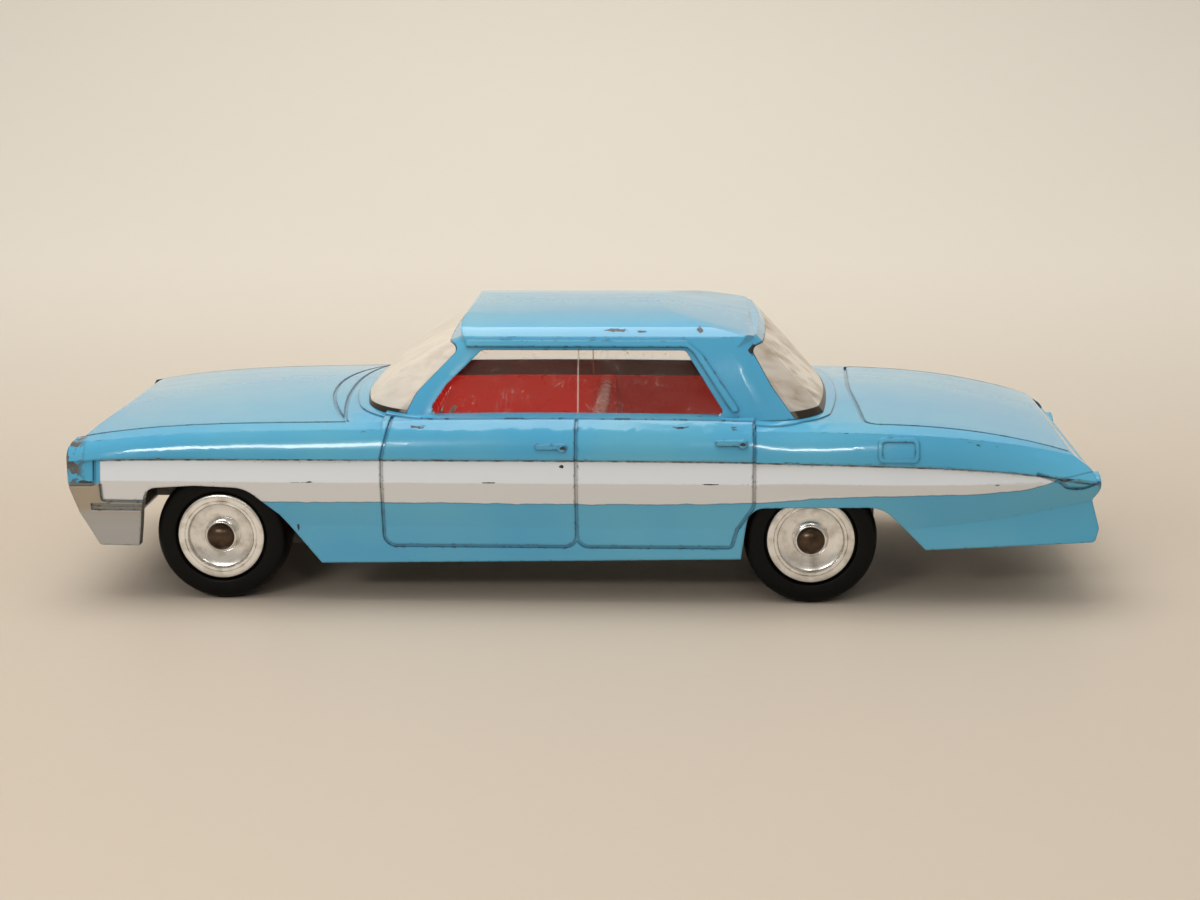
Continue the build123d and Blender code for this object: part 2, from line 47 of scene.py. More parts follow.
mm = 0.001
wheelX = {"front": -38.1, "rear": 24.4}
wheelFace = 17.6
axleHeight = 7.0


def linear(hexColour):
    # sRGB hex to the linear colour that the shaders take
    parts = [int(hexColour[i:i + 2], 16) / 255 for i in (1, 3, 5)]
    return [p / 12.92 if p <= 0.04045 else ((p + 0.055) / 1.055) ** 2.4 for p in parts] + [1.0]


def add(tree, kind, inputs=None, **settings):
    # adds a node, sets its properties, and fills its inputs with values or links
    prefix = "" if kind.startswith(("Geometry", "NodeGroup")) else "ShaderNode"
    node = tree.nodes.new(prefix + kind)
    for name, value in settings.items():
        setattr(node, name, value)
    for key, value in (inputs or {}).items():
        if isinstance(value, bpy.types.Node):
            value = next(s for s in value.outputs if s.enabled)
        if isinstance(value, bpy.types.NodeSocket):
            tree.links.new(value, node.inputs[key])
        else:
            node.inputs[key].default_value = value
    return node


def newMaterial(name):
    material = bpy.data.materials.new(name)
    material.use_nodes = True
    tree = material.node_tree
    tree.nodes.clear()
    place = add(tree, "TexCoord").outputs["Object"]
    inMm = add(tree, "VectorMath", {0: place, "Scale": 1 / mm}, operation="SCALE")
    return material, tree, inMm


def finish(tree, shader):
    add(tree, "OutputMaterial", {"Surface": shader})


def dress(nodeName, material):
    # puts a material on a CAD node's slots
    obj = nodeObjects[nodeName]
    for slot in obj.material_slots:
        slot.material = material
    return obj


# Stove enamel on a zinc casting: thick, glossy, soft over every edge, and chipped off where the toy knocks.
enamel = {
    "blue": "#4BAEDA",
    "blueFaded": "#62BAD8",
    # painted shade in the hollows of the blue
    "blueHollowShade": "#1B6285",
    # painted shade for the casting's inside
    "insideShade": "#27262C",
    "white": "#EEF3F8",
    # the white's greyer copy, painted shade below the flash's crease
    "whiteShadedBelow": "#E6E6E6",
    "silver": "#B2B2B3",
    "silverWarm": "#ADA392",
    "lampRed": "#A81E14",
    # handling dirt, and painted shade where it lines the flash
    "dirtAndShade": "#2C231C",
    "chip": "#1A2532",
    # bare zinc in chips, and painted shade in the hollows of the white
    "bareZincAndHollowShade": "#6E6A64",
    "wanderMm": 0.14,
    "hollowReachMm": 0.5,
    "edgeRadiusMm": 0.32,
    "chipSizeMm": 0.8,
    "roughness": 0.12,
}
# where the paint changes on the casting, in mm: x along the car, across from its middle, and z above the floor
paintAt = {
    "flankAcross": 16.4, "wingFrontX": -50.2, "creaseZ": 13.4, "ridgeAcross": 18.0, "ridgeZ": 17.0,
    "bumperTopZ": 13.0, "bumperRearX": -45.3, "bumperRearTopZ": 11.16, "bumperStepZ": (9.4, 10.4),
    "grilleX": -50.9, "grilleTopZ": 15.85, "grilleAcross": 17.15,
    "tailPanelX": 52.9, "tailPanelZ": 13.0, "tailPanelAcross": 12.75,
    "tailLampX": 53.2, "tailLampAcross": (13.0, 16.8), "tailLampZ": (12.05, 13.95),
    "wornNoseX": (-51.8, -52.8), "wornNoseZ": 12.9, "wornNoseAcross": (14.0, 16.5),
    "cabinZ": 14.0, "ceilingZ": 21.0,
}
# the white flash's edges along the car, in mm: x, height of its lower edge, height of its upper edge
flashEdges = [(-56, 11.1, 14.9), (-50, 11.15, 15.5), (-38, 11.15, 15.68), (-20, 11.15, 15.72),
              (18, 11.3, 15.64), (27, 11.95, 15.42), (34.6, 12.15, 15.2), (42, 12.4, 14.85),
              (46.4, 12.86, 14.45), (49.2, 13.7, 14.0), (50.2, 14.1, 13.8), (56, 14.8, 13.0)]
flashSpan = (-56, 56)
flashHeights = (10, 17)
# single chips on the side that has had most play: x, height, length and height of the chip in mm
knocks = [(3.9, 28.5, 1.3, 0.14), (6.6, 28.4, 0.5, 0.1), (12.7, 28.55, 0.35, 0.3), (18.2, 26.6, 0.5, 0.5),
          (-1.6, 15.15, 0.25, 0.16), (-14.6, 15.8, 0.8, 0.1), (-9.2, 13.45, 0.7, 0.07), (13.9, 13.4, 0.9, 0.07),
          (-52.0, 13.2, 1.0, 0.2), (50.6, 13.9, 0.8, 0.12), (-29.6, 8.3, 0.15, 0.35), (-1.5, 17.2, 0.4, 0.2),
          (17.2, 17.7, 0.4, 0.2)]


def heightAlong(tree, x, rows):
    # a height that follows x, as a smooth curve through the rows
    (x0, x1), (z0, z1) = flashSpan, flashHeights
    part = add(tree, "MapRange", {"Value": x, "From Min": x0, "From Max": x1})
    curve = add(tree, "FloatCurve", {"Value": part})
    points = curve.mapping.curves[0].points
    for _ in rows[2:]:
        points.new(0.5, 0.5)
    for point, (px, pz) in zip(points, rows):
        point.location = ((px - x0) / (x1 - x0), (pz - z0) / (z1 - z0))
    curve.mapping.update()
    return add(tree, "MapRange", {"Value": curve, "To Min": z0, "To Max": z1})


def stripe(tree, value, middle, half, soft):
    # 1 within half of the middle, fading out over soft
    away = add(tree, "Math", {0: value, 1: middle}, operation="SUBTRACT")
    away = add(tree, "Math", {0: away}, operation="ABSOLUTE")
    return add(tree, "MapRange", {"Value": away, "From Min": half + soft, "From Max": half})


def makeEnamel():
    v, at = enamel, paintAt
    material, tree, place = newMaterial("stoveEnamel")
    x, y, z = add(tree, "SeparateXYZ", {0: place}).outputs
    side = add(tree, "Math", {0: y}, operation="ABSOLUTE")

    # the flash was sprayed through a mask, so its edges wander a little
    wander = add(tree, "TexNoise", {"Vector": place, "Scale": 0.6, "Detail": 2.0})
    wander = add(tree, "MapRange", {"Value": wander, "To Min": -v["wanderMm"], "To Max": v["wanderMm"]})
    sprayed = add(tree, "Math", {0: z, 1: wander}, operation="ADD")
    lower = heightAlong(tree, x, [(r[0], r[1]) for r in flashEdges])
    upper = heightAlong(tree, x, [(r[0], r[2]) for r in flashEdges])
    overLower = add(tree, "Math", {0: sprayed, 1: lower}, operation="SUBTRACT")
    underUpper = add(tree, "Math", {0: upper, 1: z}, operation="SUBTRACT")
    flash = add(tree, "Math", {
        0: add(tree, "MapRange", {"Value": overLower, "From Max": 0.06}),
        1: add(tree, "MapRange", {"Value": underUpper, "From Max": 0.06})}, operation="MULTIPLY")
    outside = add(tree, "MapRange", {"Value": side, "From Min": at["flankAcross"],
                                     "From Max": at["flankAcross"] + 0.2})
    behindNose = add(tree, "MapRange", {"Value": x, "From Min": at["wingFrontX"] - 0.12,
                                        "From Max": at["wingFrontX"] - 0.02})
    flash = add(tree, "Math", {0: flash, 1: outside}, operation="MULTIPLY")
    flash = add(tree, "Math", {0: flash, 1: behindNose}, operation="MULTIPLY")

    # silver brushed by hand on the bumper, the grille and its lamps
    lowNose = add(tree, "Math", {
        0: add(tree, "MapRange", {"Value": x, "From Min": at["wingFrontX"], "From Max": at["wingFrontX"] - 0.15}),
        1: add(tree, "MapRange", {"Value": sprayed, "From Min": at["bumperTopZ"],
                                  "From Max": at["bumperTopZ"] - 0.1})}, operation="MULTIPLY")
    underFlash = add(tree, "Math", {
        0: add(tree, "MapRange", {"Value": x, "From Min": at["bumperRearX"], "From Max": at["bumperRearX"] - 0.1}),
        1: add(tree, "MapRange", {"Value": z, "From Min": at["bumperRearTopZ"],
                                  "From Max": at["bumperRearTopZ"] - 0.06})}, operation="MULTIPLY")
    grille = add(tree, "Math", {
        0: add(tree, "MapRange", {"Value": x, "From Min": at["grilleX"], "From Max": at["grilleX"] - 0.1}),
        1: add(tree, "MapRange", {"Value": z, "From Min": at["grilleTopZ"],
                                  "From Max": at["grilleTopZ"] - 0.1})}, operation="MULTIPLY")
    inward = add(tree, "MapRange", {"Value": side, "From Min": at["grilleAcross"],
                                    "From Max": at["grilleAcross"] - 0.1})
    grille = add(tree, "Math", {0: grille, 1: inward}, operation="MULTIPLY")
    silver = add(tree, "Math", {0: lowNose, 1: underFlash}, operation="MAXIMUM")
    silver = add(tree, "Math", {0: silver, 1: grille}, operation="MAXIMUM")
    tailPanel = add(tree, "Math", {
        0: add(tree, "MapRange", {"Value": x, "From Min": at["tailPanelX"], "From Max": at["tailPanelX"] + 0.1}),
        1: stripe(tree, z, at["tailPanelZ"], 1.1, 0.1)}, operation="MULTIPLY")
    between = add(tree, "MapRange", {"Value": side, "From Min": at["tailPanelAcross"],
                                     "From Max": at["tailPanelAcross"] - 0.1})
    tailPanel = add(tree, "Math", {0: tailPanel, 1: between}, operation="MULTIPLY")
    silver = add(tree, "Math", {0: silver, 1: tailPanel}, operation="MAXIMUM")

    # red dabbed on the rear faces of the oval tail lamps
    spot = add(tree, "CombineXYZ", {
        i: add(tree, "MapRange", {"Value": value, "From Min": low, "From Max": high, "To Min": -1.0}, clamp=False)
        for i, value, (low, high) in ((0, side, at["tailLampAcross"]), (1, z, at["tailLampZ"]))})
    spot = add(tree, "VectorMath", {0: spot}, operation="LENGTH")
    lamp = add(tree, "Math", {
        0: add(tree, "MapRange", {"Value": spot.outputs["Value"], "From Min": 1.12, "From Max": 1.06}),
        1: add(tree, "MapRange", {"Value": x, "From Min": at["tailLampX"],
                                  "From Max": at["tailLampX"] + 0.1})}, operation="MULTIPLY")
    faceX, faceY, faceZ = add(tree, "SeparateXYZ", {0: add(tree, "TexCoord").outputs["Normal"]}).outputs
    rearward = add(tree, "MapRange", {"Value": faceX, "From Min": 0.7, "From Max": 0.85})
    lamp = add(tree, "Math", {0: lamp, 1: rearward}, operation="MULTIPLY")

    # blue faded in places; white greyer below the flash's crease, a painted shade where it faces down; silver
    # warmer above the bumper's step
    fade = add(tree, "TexNoise", {"Vector": place, "Scale": 0.06, "Detail": 2.0})
    fade = add(tree, "MapRange", {"Value": fade, "From Min": 0.4, "From Max": 0.75})
    colour = add(tree, "Mix", {0: fade, 6: linear(v["blue"]), 7: linear(v["blueFaded"])}, data_type="RGBA")
    lowHalf = add(tree, "MapRange", {"Value": sprayed, "From Min": at["creaseZ"] + 0.1,
                                     "From Max": at["creaseZ"] - 0.1})
    white = add(tree, "Mix", {0: lowHalf, 6: linear(v["white"]), 7: linear(v["whiteShadedBelow"])}, data_type="RGBA")
    colour = add(tree, "Mix", {0: flash, 6: colour, 7: white}, data_type="RGBA")
    warm = add(tree, "MapRange", {"Value": z, "From Min": at["bumperStepZ"][0], "From Max": at["bumperStepZ"][1]})
    brushed = add(tree, "Mix", {0: warm, 6: linear(v["silver"]), 7: linear(v["silverWarm"])}, data_type="RGBA")
    colour = add(tree, "Mix", {0: silver, 6: colour, 7: brushed}, data_type="RGBA")
    colour = add(tree, "Mix", {0: lamp, 6: colour, 7: linear(v["lampRed"])}, data_type="RGBA")

    # the inside is painted dark: a painted shade of the closed cabin
    towards = add(tree, "Math", {0: faceY, 1: add(tree, "Math", {0: y}, operation="SIGN")}, operation="MULTIPLY")
    ceiling = add(tree, "Math", {
        0: add(tree, "MapRange", {"Value": faceZ, "From Min": -0.4, "From Max": -0.6}),
        1: add(tree, "MapRange", {"Value": z, "From Min": at["ceilingZ"],
                                  "From Max": at["ceilingZ"] + 0.5})}, operation="MULTIPLY")
    within = add(tree, "Math", {0: add(tree, "MapRange", {"Value": towards, "From Min": -0.2, "From Max": -0.4}),
                                1: ceiling}, operation="MAXIMUM")
    inCabin = add(tree, "MapRange", {"Value": z, "From Min": at["cabinZ"], "From Max": at["cabinZ"] + 1.0})
    within = add(tree, "Math", {0: within, 1: inCabin}, operation="MULTIPLY")
    colour = add(tree, "Mix", {0: within, 6: colour, 7: linear(v["insideShade"])}, data_type="RGBA")

    # painted shade: the paint is darker in hollows; and handling dirt in patches in the deepest of them
    hollow = add(tree, "AmbientOcclusion", {"Distance": v["hollowReachMm"] * mm}, samples=4, only_local=True)
    hollowShade = add(tree, "MapRange", {"Value": hollow.outputs["AO"], "From Min": 0.85, "From Max": 0.3,
                                  "To Max": 0.62})
    shade = add(tree, "Mix", {0: flash, 6: linear(v["blueHollowShade"]), 7: linear(v["bareZincAndHollowShade"])}, data_type="RGBA")
    colour = add(tree, "Mix", {0: hollowShade, 6: colour, 7: shade}, data_type="RGBA")
    grimeAndShade = add(tree, "MapRange", {"Value": hollow.outputs["AO"], "From Min": 0.6, "From Max": 0.3})
    speckle = add(tree, "TexNoise", {"Vector": place, "Scale": 0.9, "Detail": 5.0, "Roughness": 0.6})
    patchy = add(tree, "MapRange", {"Value": speckle, "From Min": 0.42, "From Max": 0.62,
                                    "To Min": 0.4, "To Max": 1.0})
    rare = add(tree, "MapRange", {"Value": speckle, "From Min": 0.54, "From Max": 0.68, "To Max": 0.9})
    grimeAndShade = add(tree, "Math", {0: grimeAndShade, 1: rare}, operation="MULTIPLY")
    # dirt and painted shade also line the flash: in patches along its top edge, under the lip, and faintly along
    # its lower one
    onFlank = add(tree, "Math", {0: outside, 1: behindNose}, operation="MULTIPLY")
    for edge, half, strength in ((underUpper, 0.07, patchy), (overLower, 0.03, 0.45)):
        lining = add(tree, "Math", {0: stripe(tree, edge, 0.0, half, 0.07), 1: onFlank}, operation="MULTIPLY")
        lining = add(tree, "Math", {0: lining, 1: strength}, operation="MULTIPLY")
        grimeAndShade = add(tree, "Math", {0: grimeAndShade, 1: lining}, operation="MAXIMUM")
    colour = add(tree, "Mix", {0: grimeAndShade, 6: colour, 7: linear(v["dirtAndShade"])}, data_type="RGBA")

    # chips: on sharp edges, where the rounded normal leaves the cast one, and in dashes along the flash's crease,
    # the lip above the flash and the wing's ridge
    rounded = add(tree, "Bevel", {"Radius": v["edgeRadiusMm"] * mm}, samples=3)
    sharp = add(tree, "NewGeometry").outputs["Normal"]
    turn = add(tree, "VectorMath", {0: rounded, 1: sharp}, operation="DOT_PRODUCT")
    edge = add(tree, "MapRange", {"Value": turn.outputs["Value"], "From Min": 0.93, "From Max": 0.84})
    nearEdge = add(tree, "MapRange", {"Value": turn.outputs["Value"], "From Min": 0.97, "From Max": 0.93})
    softened = add(tree, "Mix", {0: nearEdge, 4: sharp, 5: rounded}, data_type="VECTOR")
    softened = add(tree, "VectorMath", {0: softened}, operation="NORMALIZE")
    crease = add(tree, "Math", {0: stripe(tree, z, at["creaseZ"], 0.06, 0.05), 1: outside}, operation="MULTIPLY")
    lip = add(tree, "Math", {0: stripe(tree, underUpper, -0.14, 0.06, 0.05), 1: outside}, operation="MULTIPLY")
    ridge = add(tree, "Math", {
        0: stripe(tree, side, at["ridgeAcross"], 0.1, 0.1),
        1: add(tree, "MapRange", {"Value": z, "From Min": at["ridgeZ"] - 0.1,
                                  "From Max": at["ridgeZ"] + 0.1})}, operation="MULTIPLY")
    line = add(tree, "Math", {0: crease, 1: lip}, operation="MAXIMUM")
    line = add(tree, "Math", {0: line, 1: ridge}, operation="MAXIMUM")
    stretched = add(tree, "VectorMath", {0: place, 1: (0.3, 1.0, 1.0)}, operation="MULTIPLY")
    dashes = add(tree, "TexNoise", {"Vector": stretched, "Scale": 0.9, "Detail": 6.0, "Roughness": 0.7})
    dashes = add(tree, "MapRange", {"Value": dashes, "From Min": 0.61, "From Max": 0.625})
    line = add(tree, "Math", {0: line, 1: dashes}, operation="MULTIPLY")
    # the nose is worn most, at both of its corners
    worn = add(tree, "Math", {
        0: add(tree, "MapRange", {"Value": x, "From Min": at["wornNoseX"][0], "From Max": at["wornNoseX"][1]}),
        1: add(tree, "MapRange", {"Value": z, "From Min": at["wornNoseZ"],
                                  "From Max": at["wornNoseZ"] + 0.4})}, operation="MULTIPLY")
    corner = add(tree, "MapRange", {"Value": side, "From Min": at["wornNoseAcross"][0],
                                    "From Max": at["wornNoseAcross"][1], "To Min": 0.2})
    mottled = add(tree, "TexNoise", {"Vector": place, "Scale": 0.9, "Detail": 6.0, "Roughness": 0.65})
    mottled = add(tree, "Math", {0: mottled, 1: add(tree, "MapRange", {
        "Value": corner, "To Min": -0.16, "To Max": 0.0})}, operation="ADD")
    mottled = add(tree, "MapRange", {"Value": mottled, "From Min": 0.475, "From Max": 0.495})
    worn = add(tree, "Math", {0: worn, 1: mottled}, operation="MULTIPLY")
    line = add(tree, "Math", {0: line, 1: worn}, operation="MAXIMUM")
    patches = add(tree, "TexNoise", {"Vector": place, "Scale": 1 / v["chipSizeMm"], "Detail": 5.0})
    patches = add(tree, "MapRange", {"Value": patches, "From Min": 0.575, "From Max": 0.595})
    edge = add(tree, "Math", {0: edge, 1: patches}, operation="MULTIPLY")
    chips = add(tree, "Math", {0: edge, 1: line}, operation="MAXIMUM")
    # the single chips, with ragged outlines, on the left side only
    near = add(tree, "MapRange", {"Value": y, "From Min": -11.5, "From Max": -12.0})
    ragged = add(tree, "TexNoise", {"Vector": place, "Scale": 2.2, "Detail": 4.0})
    raggedEdge = add(tree, "MapRange", {"Value": ragged, "To Min": 0.2, "To Max": 1.9})
    for knockX, knockZ, halfLength, halfHeight in knocks:
        aside = add(tree, "MapRange", {"Value": x, "From Min": knockX - halfLength, "From Max": knockX + halfLength,
                                       "To Min": -1.0, "To Max": 1.0}, clamp=False)
        rise = add(tree, "MapRange", {"Value": z, "From Min": knockZ - halfHeight, "From Max": knockZ + halfHeight,
                                      "To Min": -1.0, "To Max": 1.0}, clamp=False)
        reach = add(tree, "VectorMath", {0: add(tree, "CombineXYZ", {0: aside, 1: rise})}, operation="LENGTH")
        inside = add(tree, "Math", {0: raggedEdge, 1: reach.outputs["Value"]}, operation="SUBTRACT")
        inside = add(tree, "MapRange", {"Value": inside, "From Min": 0.1, "From Max": 0.2})
        inside = add(tree, "Math", {0: inside, 1: near}, operation="MULTIPLY")
        chips = add(tree, "Math", {0: chips, 1: inside}, operation="MAXIMUM")
    bare = add(tree, "MapRange", {"Value": speckle, "From Min": 0.58, "From Max": 0.66})
    bare = add(tree, "Math", {0: bare, 1: add(tree, "Math", {0: worn, 1: 0.7}, operation="MULTIPLY")},
               operation="MAXIMUM")
    under = add(tree, "Mix", {0: bare, 6: linear(v["chip"]), 7: linear(v["bareZincAndHollowShade"])}, data_type="RGBA")
    colour = add(tree, "Mix", {0: chips, 6: colour, 7: under}, data_type="RGBA")

    # the enamel's own surface: a faint orange peel, and fine rub marks that dull it in places
    peel = add(tree, "TexNoise", {"Vector": place, "Scale": 0.8, "Detail": 1.5})
    depth = add(tree, "Math", {0: peel, 1: add(tree, "Math", {0: chips, 1: -1.6}, operation="MULTIPLY")},
                operation="ADD")
    bump = add(tree, "Bump", {"Height": depth, "Distance": 0.03 * mm, "Strength": 0.4, "Normal": softened})
    rubbed = add(tree, "TexNoise", {"Vector": stretched, "Scale": 0.35, "Detail": 6.0, "Roughness": 0.65})
    rough = add(tree, "MapRange", {"Value": rubbed, "From Min": 0.35, "From Max": 0.7,
                                   "To Min": v["roughness"], "To Max": v["roughness"] + 0.12})
    rough = add(tree, "Mix", {0: chips, 2: rough, 3: 0.5}, data_type="FLOAT")
    rough = add(tree, "Mix", {0: silver, 2: rough, 3: 0.34}, data_type="FLOAT")
    metal = add(tree, "Math", {0: silver, 1: 0.55}, operation="MULTIPLY")
    finish(tree, add(tree, "BsdfPrincipled", {
        "Base Color": colour, "Roughness": rough, "Metallic": metal, "Normal": bump,
        "Coat Weight": 0.6, "Coat Roughness": 0.05, "IOR": 1.5}))
    return material


# The casting's facets are long where it is nearly flat, which breaks up reflections in gloss. So a merged copy is
# divided on top, and its normals there are spread out over their neighbours.
casting = {
    "mergeMm": 0.002,
    "lowestMm": 15.5,  # only what lies higher is divided and smoothed
    "longestMm": 2.5,  # longer edges are halved
    "halvings": 4,
    "dividedUp": 0.5,  # the upward part of the normal from which faces are divided
    "smoothedUp": 0.6,  # and points are smoothed
    "sameDirection": 0.975,  # a point whose corners differ more is a real edge, and is left sharp
    "passes": 90,
}


def makeCasting(material):
    v = casting
    mesh = nodeObjects["body_casting"].data.copy()
    given = mesh.attributes.new("given", "FLOAT_VECTOR", "CORNER")
    given.data.foreach_set("vector", [c for n in mesh.corner_normals for c in n.vector])
    mesh.attributes.remove(mesh.attributes["custom_normal"])
    shape = bmesh.new()
    shape.from_mesh(mesh)
    bmesh.ops.remove_doubles(shape, verts=shape.verts, dist=v["mergeMm"] * mm)
    for halving in range(v["halvings"]):
        shape.normal_update()
        tooLong = [e for e in shape.edges if e.calc_length() > v["longestMm"] * mm
                   and e.verts[0].co.z > v["lowestMm"] * mm
                   and all(f.normal.z > v["dividedUp"] for f in e.link_faces)]
        bmesh.ops.subdivide_edges(shape, edges=tooLong, cuts=1)
        bmesh.ops.triangulate(shape, faces=shape.faces)
    shape.to_mesh(mesh)
    shape.free()

    # one normal for each point, as the mean of its corners' normals
    corners = np.empty((len(mesh.loops), 3), np.float32)
    mesh.attributes["given"].data.foreach_get("vector", corners.ravel())
    corners /= np.linalg.norm(corners, axis=1, keepdims=True)
    at = np.empty(len(mesh.loops), np.int32)
    mesh.loops.foreach_get("vertex_index", at)
    normals = np.zeros((len(mesh.vertices), 3), np.float32)
    np.add.at(normals, at, corners)
    normals /= np.linalg.norm(normals, axis=1, keepdims=True)
    spread = np.ones(len(normals), np.float32)
    np.minimum.at(spread, at, (normals[at] * corners).sum(axis=1))
    points = np.empty((len(normals), 3), np.float32)
    mesh.vertices.foreach_get("co", points.ravel())
    onTop = (normals[:, 2] > v["smoothedUp"]) & (points[:, 2] > v["lowestMm"] * mm)
    smooth = (spread > v["sameDirection"]) & onTop

    # each pass takes the mean with the neighbours along the edges
    pairs = np.empty((len(mesh.edges), 2), np.int32)
    mesh.edges.foreach_get("vertices", pairs.ravel())
    pairs = pairs[smooth[pairs].all(axis=1)]
    for turn in range(v["passes"]):
        total = normals.copy()
        count = np.ones((len(normals), 1), np.float32)
        for a, b in ((0, 1), (1, 0)):
            np.add.at(total, pairs[:, a], normals[pairs[:, b]])
            np.add.at(count, pairs[:, a], 1.0)
        total /= count
        normals = total / np.linalg.norm(total, axis=1, keepdims=True)
    corners[smooth[at]] = normals[at][smooth[at]]
    mesh.attributes.remove(mesh.attributes["given"])
    mesh.shade_smooth()
    mesh.normals_split_custom_set(corners.tolist())
    for i in range(len(mesh.materials)):
        mesh.materials[i] = material
    skin = bpy.data.objects.new("castingSkin", mesh)
    bpy.context.collection.objects.link(skin)
    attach(skin, "body")
    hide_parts("body_casting")
    return skin


stoveEnamel = makeEnamel()
dress("body_casting", stoveEnamel)
skin = makeCasting(stoveEnamel)
print("Casting done,", len(skin.data.polygons), "triangles")


# Clear styrene: a thin moulding that mirrors more the flatter it is seen. It has hair scratches all over, and both
# screens are hazy, partly a painted reflection of the room, with brown stains that were wiped aslant, mostly
# behind.
styrene = {
    "hazeAndReflection": "#FFF7EA",
    "hazeBrown": "#8C6C4A",
    # painted shade along the foot of both screens, where the glass goes under the cowl
    "screenFootShade": "#2A211B",
    "screenFootShadeTopZ": 20.32,  # the dark edging at the foot of both screens
    "middleX": -2.2,
    "scratchSpacingMm": 1.6,
    # the screens' cover is partly real haze and partly a painted reflection of the room
    "screenHazeAndReflection": 0.72,
    "hazeSides": 0.02,
    "gateX": -0.1,  # an upright mould line in the side panes
}


def makeClearStyrene():
    v = styrene
    material, tree, place = newMaterial("clearStyrene")
    x, y, z = add(tree, "SeparateXYZ", {0: place}).outputs
    middle = add(tree, "Math", {0: x, 1: v["middleX"]}, operation="SUBTRACT")
    middle = add(tree, "Math", {0: middle}, operation="ABSOLUTE")
    across = add(tree, "SeparateXYZ", {0: add(tree, "TexCoord").outputs["Normal"]}).outputs["Y"]
    across = add(tree, "Math", {0: across}, operation="ABSOLUTE")
    screens = add(tree, "Math", {
        0: add(tree, "MapRange", {"Value": middle, "From Min": 8.0, "From Max": 10.0}),
        1: add(tree, "MapRange", {"Value": across, "From Min": 0.9, "From Max": 0.75})}, operation="MULTIPLY")
    wiped = add(tree, "VectorRotate", {"Vector": place, "Axis": (1, 0, 0), "Angle": 0.5})
    wiped = add(tree, "VectorMath", {0: wiped, 1: (0.5, 0.35, 1.2)}, operation="MULTIPLY")
    clouds = add(tree, "TexNoise", {"Vector": wiped, "Scale": 0.45, "Detail": 5.0, "Roughness": 0.55,
                                    "Distortion": 0.3})
    stain = add(tree, "MapRange", {"Value": clouds, "From Min": 0.42, "From Max": 0.75})
    stain = add(tree, "Math", {0: stain, 1: add(tree, "MapRange", {"Value": x, "From Min": -5.0, "From Max": 5.0,
                                                                   "To Min": 0.22, "To Max": 0.9})},
                operation="MULTIPLY")
    clouds = add(tree, "MapRange", {"Value": clouds, "From Min": 0.35, "From Max": 0.65,
                                    "To Min": 0.75, "To Max": 1.25})
    # on the screens this cream cover is partly real haze and partly a painted reflection of the room
    hazeAndReflection = add(tree, "MapRange", {"Value": screens, "To Min": v["hazeSides"], "To Max": v["screenHazeAndReflection"]})
    hazeAndReflection = add(tree, "Math", {0: hazeAndReflection, 1: clouds}, operation="MULTIPLY")

    # hair scratches: thin threads where a stretched, warped noise crosses its middle
    threads = 0.0
    for turn, scale in ((0.5, 0.8), (-0.9, 1.0), (1.4, 0.6)):
        aslant = add(tree, "VectorRotate", {"Vector": place, "Axis": (0, 1, 0), "Angle": turn})
        drawn = add(tree, "VectorMath", {0: aslant, 1: (0.12, 0.5, 1.0)}, operation="MULTIPLY")
        grain = add(tree, "TexNoise", {"Vector": drawn, "Scale": scale / v["scratchSpacingMm"] * 2.0,
                                       "Detail": 1.0, "Distortion": 0.3})
        thread = stripe(tree, grain, 0.5, 0.001, 0.002)
        threads = add(tree, "Math", {0: thread, 1: threads}, operation="MAXIMUM")
    gaps = add(tree, "TexNoise", {"Vector": place, "Scale": 0.5, "Detail": 2.0})
    gaps = add(tree, "MapRange", {"Value": gaps, "From Min": 0.56, "From Max": 0.64})
    threads = add(tree, "Math", {0: threads, 1: gaps}, operation="MULTIPLY")
    hazeAndReflection = add(tree, "Math", {0: hazeAndReflection, 1: add(tree, "Math", {0: threads, 1: 0.4}, operation="MULTIPLY")},
               operation="MAXIMUM")
    gate = stripe(tree, x, v["gateX"], 0.04, 0.05)
    hazeAndReflection = add(tree, "Math", {0: hazeAndReflection, 1: add(tree, "Math", {0: gate, 1: 0.45}, operation="MULTIPLY")},
               operation="MAXIMUM")
    # painted shade along the foot of both screens, where the glass goes under the cowl
    shadedFoot = add(tree, "MapRange", {"Value": z, "From Min": v["screenFootShadeTopZ"] + 0.06, "From Max": v["screenFootShadeTopZ"]})
    shadedFoot = add(tree, "Math", {0: shadedFoot, 1: screens}, operation="MULTIPLY")
    hazeAndReflection = add(tree, "Math", {0: hazeAndReflection, 1: shadedFoot}, operation="MAXIMUM")
    colour = add(tree, "Mix", {0: stain, 6: linear(v["hazeAndReflection"]), 7: linear(v["hazeBrown"])}, data_type="RGBA")
    colour = add(tree, "Mix", {0: shadedFoot, 6: colour, 7: linear(v["screenFootShade"])}, data_type="RGBA")

    # the faces mirror from a few percent seen straight on to everything seen flat
    flat = add(tree, "LayerWeight", {"Blend": 0.5}).outputs["Facing"]
    mirror = add(tree, "Math", {0: flat, 1: 5.0}, operation="POWER")
    mirror = add(tree, "MapRange", {"Value": mirror, "To Min": 0.02})
    cover = add(tree, "Math", {0: hazeAndReflection, 1: mirror}, operation="ADD", use_clamp=True)
    share = add(tree, "Math", {0: mirror, 1: cover}, operation="DIVIDE")
    rough = add(tree, "MapRange", {"Value": hazeAndReflection, "From Max": 0.5, "To Min": 0.04, "To Max": 0.3})
    finish(tree, add(tree, "BsdfPrincipled", {
        "Base Color": colour, "Metallic": share, "Roughness": rough, "Alpha": cover, "IOR": 1.49}))
    return material


dress("glazing_unit", makeClearStyrene())
print("Windows done")


# Red styrene: glossy from the mould, with faint flow marks and pleats, and darker corners that are painted shade.
# It glows a little, which is painted light, in a darker red behind than in front, which is painted shade.
# the glow is painted light, and the dark red is painted shade
seats = {"red": "#EC2A17", "redShade": "#8A120B", "pleatMm": 2.4, "roughness": 0.26, "glow": 0.16}


